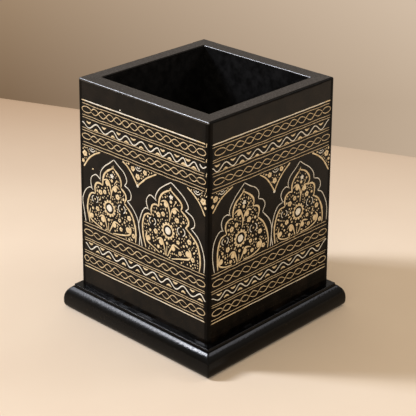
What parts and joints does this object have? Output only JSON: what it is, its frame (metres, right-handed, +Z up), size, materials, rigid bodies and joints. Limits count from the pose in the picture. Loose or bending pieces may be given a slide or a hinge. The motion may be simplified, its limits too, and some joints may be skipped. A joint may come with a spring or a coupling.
{
  "type": "pen holder",
  "caption": "Square pen holder: mitred lacquered boards round a deep well, painted with interlace bands and cusped arches, on a wider moulded plinth.",
  "frame": {"origin": "middle of the felt pad's underside, at table height", "axes": "+Z up out of the well, -Y towards the front wall, +X towards the right wall"},
  "size_m": [0.0822, 0.0822, 0.1],
  "materials": {
    "wall_lacquer": "satin black lacquer over wood, with a slight brown cast",
    "plinth_lacquer": "gloss black lacquer over wood",
    "gold_paint": "hand-painted tan-gold line",
    "cream_paint": "hand-painted cream line",
    "felt": "napped felt",
    "steel": "bright drawn wire and screw steel"
  },
  "bodies": {
    "root": {"front_wall": "wall_lacquer", "right_wall": "wall_lacquer", "back_wall": "wall_lacquer", "left_wall": "wall_lacquer", "floor_board": "wall_lacquer", "plinth_board": "plinth_lacquer", "felt_pad": "felt", "base_screw_front": "steel", "base_screw_right": "steel", "base_screw_back": "steel", "base_screw_left": "steel", "brad_front_left_low": "steel", "brad_front_left_high": "steel", "brad_front_right_low": "steel", "brad_front_right_high": "steel", "brad_back_left_low": "steel", "brad_back_left_high": "steel", "brad_back_right_low": "steel", "brad_back_right_high": "steel"}
  },
  "joints": []
}
